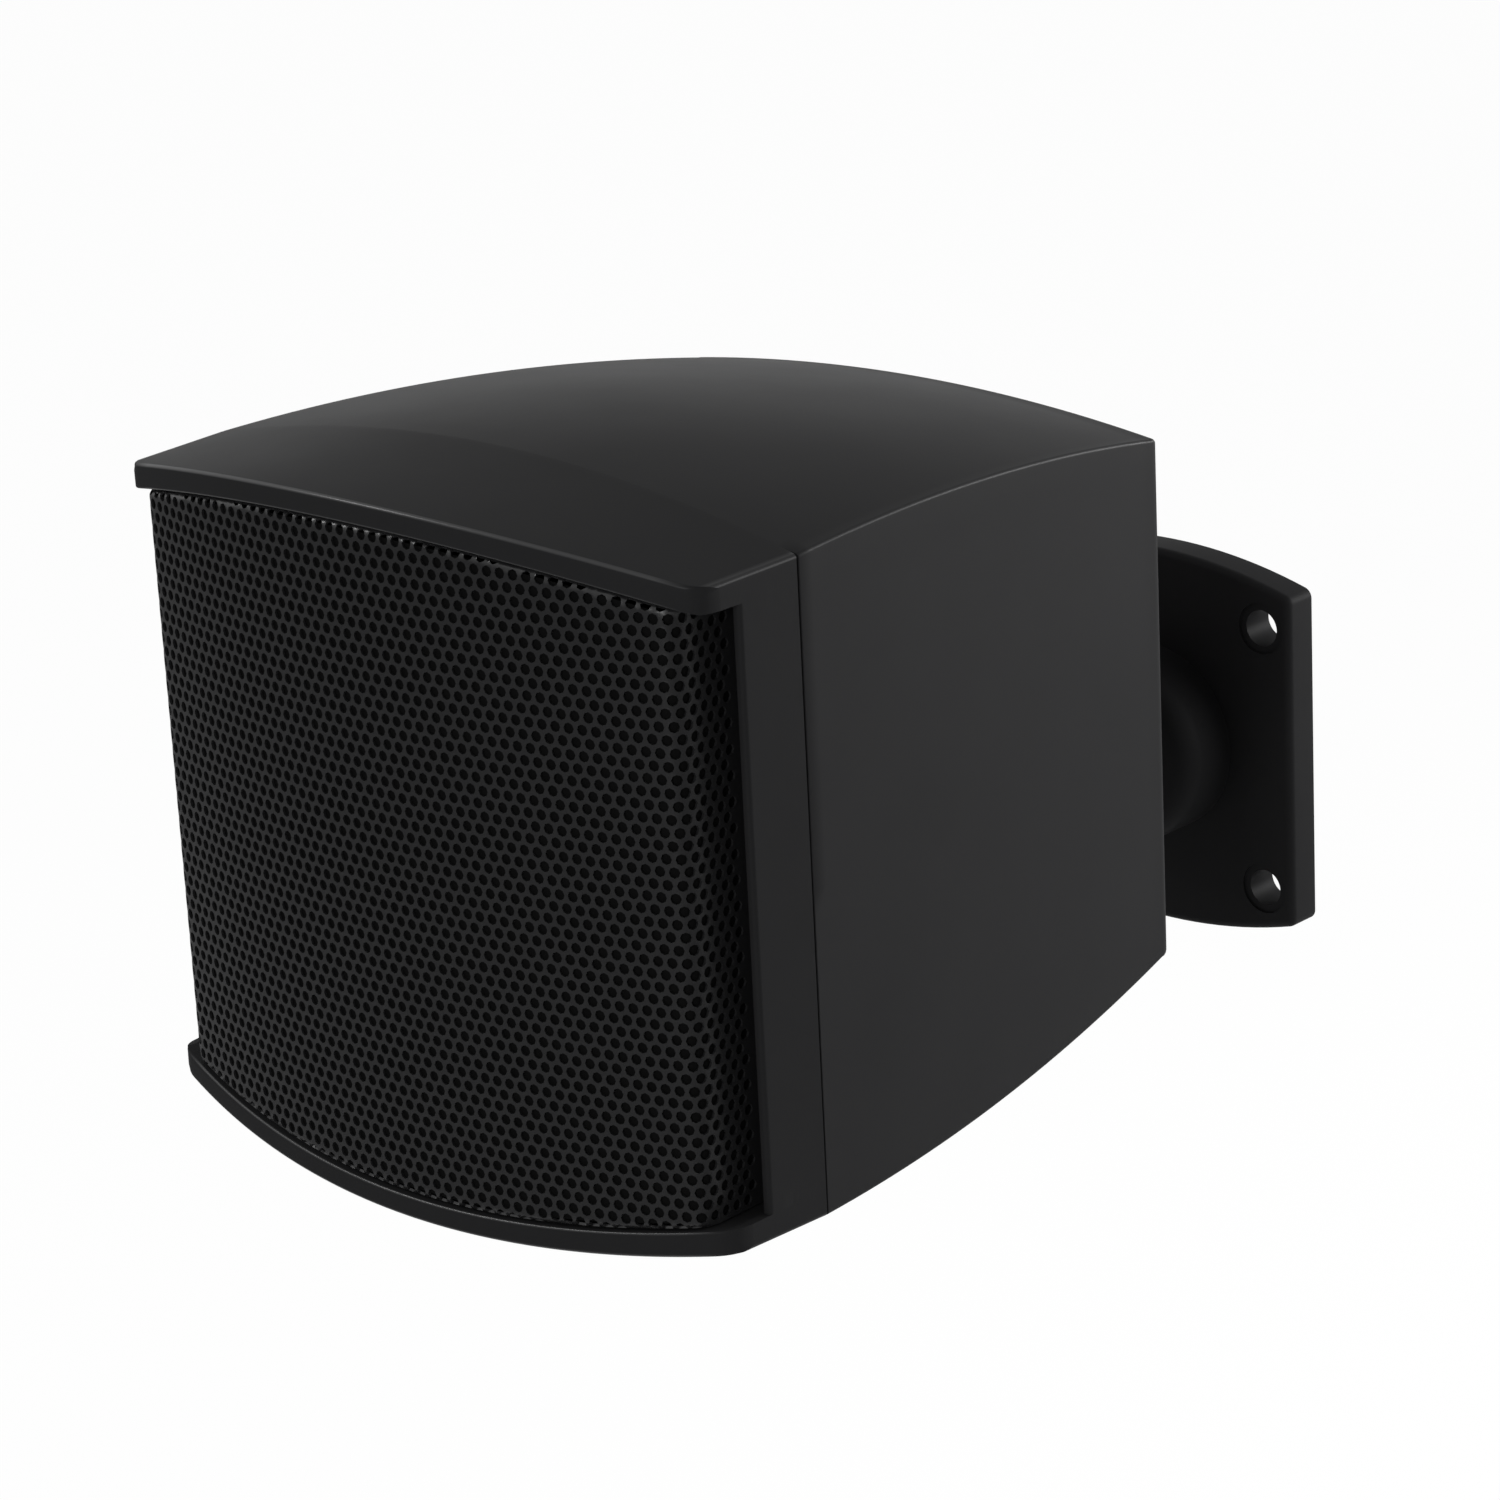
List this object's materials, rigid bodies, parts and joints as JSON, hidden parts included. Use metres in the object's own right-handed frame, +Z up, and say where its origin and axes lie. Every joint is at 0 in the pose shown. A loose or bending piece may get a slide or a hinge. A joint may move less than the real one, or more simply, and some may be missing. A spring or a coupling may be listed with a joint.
{
  "type": "wall speaker",
  "caption": "Small black wall speaker: tapered moulded cabinet, convex perforated grille between arched lips, ball-and-arm bracket on an arched wall plate.",
  "frame": {"origin": "middle of the wall plate's back face, on the wall", "axes": "+Z up, +Y into the wall, the grille faces -Y"},
  "size_m": [0.1094, 0.1724, 0.1111],
  "materials": {
    "cabinet_plastic": "black moulded plastic with a fine matt grain",
    "bracket_plastic": "black moulded plastic, smooth matt",
    "grille_steel": "perforated steel sheet, black powder coat",
    "arm_metal": "black coated metal arm and ball",
    "zinc_steel": "zinc-plated fasteners",
    "nylon": "natural nylon",
    "basket_steel": "black painted pressed steel",
    "foam_rubber": "black foam rubber",
    "surround_rubber": "black butyl rubber",
    "cone_paper": "black pressed paper",
    "spider_cloth": "resin-dipped corrugated cloth",
    "coil_copper": "enamelled copper winding on a former",
    "magnet_steel": "zinc-plated mild steel",
    "ferrite": "ground ferrite",
    "terminal_plastic": "black moulded plastic",
    "contact_brass": "tinned brass strip",
    "lever_red": "red moulded plastic",
    "lever_black": "black moulded plastic"
  },
  "bodies": {
    "wall_bracket": {"wall_plate": "bracket_plastic", "socket_collar": "bracket_plastic", "collar_screws": "zinc_steel"},
    "seat": {"ball_seat": "nylon"},
    "arm": {"ball_stud": "arm_metal"},
    "speaker": {"stud_washer": "zinc_steel", "stud_nut": "zinc_steel", "rear_cabinet": "cabinet_plastic", "front_bezel": "cabinet_plastic", "grille": "grille_steel", "case_screws": "zinc_steel", "driver_basket": "basket_steel", "driver_gasket": "foam_rubber", "driver_screws": "zinc_steel", "driver_surround": "surround_rubber", "spider": "spider_cloth", "top_plate": "magnet_steel", "magnet": "ferrite", "yoke": "magnet_steel", "terminal_block": "terminal_plastic", "terminal_screws": "zinc_steel", "terminal_contacts": "contact_brass"},
    "cone": {"driver_cone": "cone_paper", "dust_cap": "cone_paper", "voice_coil": "coil_copper"},
    "lever_red": {"terminal_lever_red": "lever_red"},
    "lever_black": {"terminal_lever_black": "lever_black"}
  },
  "joints": [
    {"name": "pan", "type": "hinge", "parent": "wall_bracket", "child": "seat", "pos_m": [0, -0.012, 0], "axis": [0, 0, 1], "range_deg": [-30, 30]},
    {"name": "tilt", "type": "hinge", "parent": "seat", "child": "arm", "pos_m": [0, -0.012, 0], "axis": [1, 0, 0], "range_deg": [-20, 20]},
    {"name": "roll", "type": "hinge", "parent": "arm", "child": "speaker", "pos_m": [0, -0.012, 0], "axis": [0, 1, 0], "range_deg": [-90, 90]},
    {"name": "cone_travel", "type": "slide", "parent": "speaker", "child": "cone", "axis": [0, -1, 0], "range_m": [-0.0015, 0.0015], "stiffness_N_per_m": 1500, "deforming": ["driver_surround", "spider"]},
    {"name": "lever_red_press", "type": "hinge", "parent": "speaker", "child": "lever_red", "pos_m": [0.008, -0.0575, 0.0484], "axis": [-1, 0, 0], "range_deg": [0, 14], "stiffness_Nm_per_rad": 0.05, "springref_deg": -11.46},
    {"name": "lever_black_press", "type": "hinge", "parent": "speaker", "child": "lever_black", "pos_m": [-0.008, -0.0575, 0.0484], "axis": [-1, 0, 0], "range_deg": [0, 14], "stiffness_Nm_per_rad": 0.05, "springref_deg": -11.46}
  ]
}
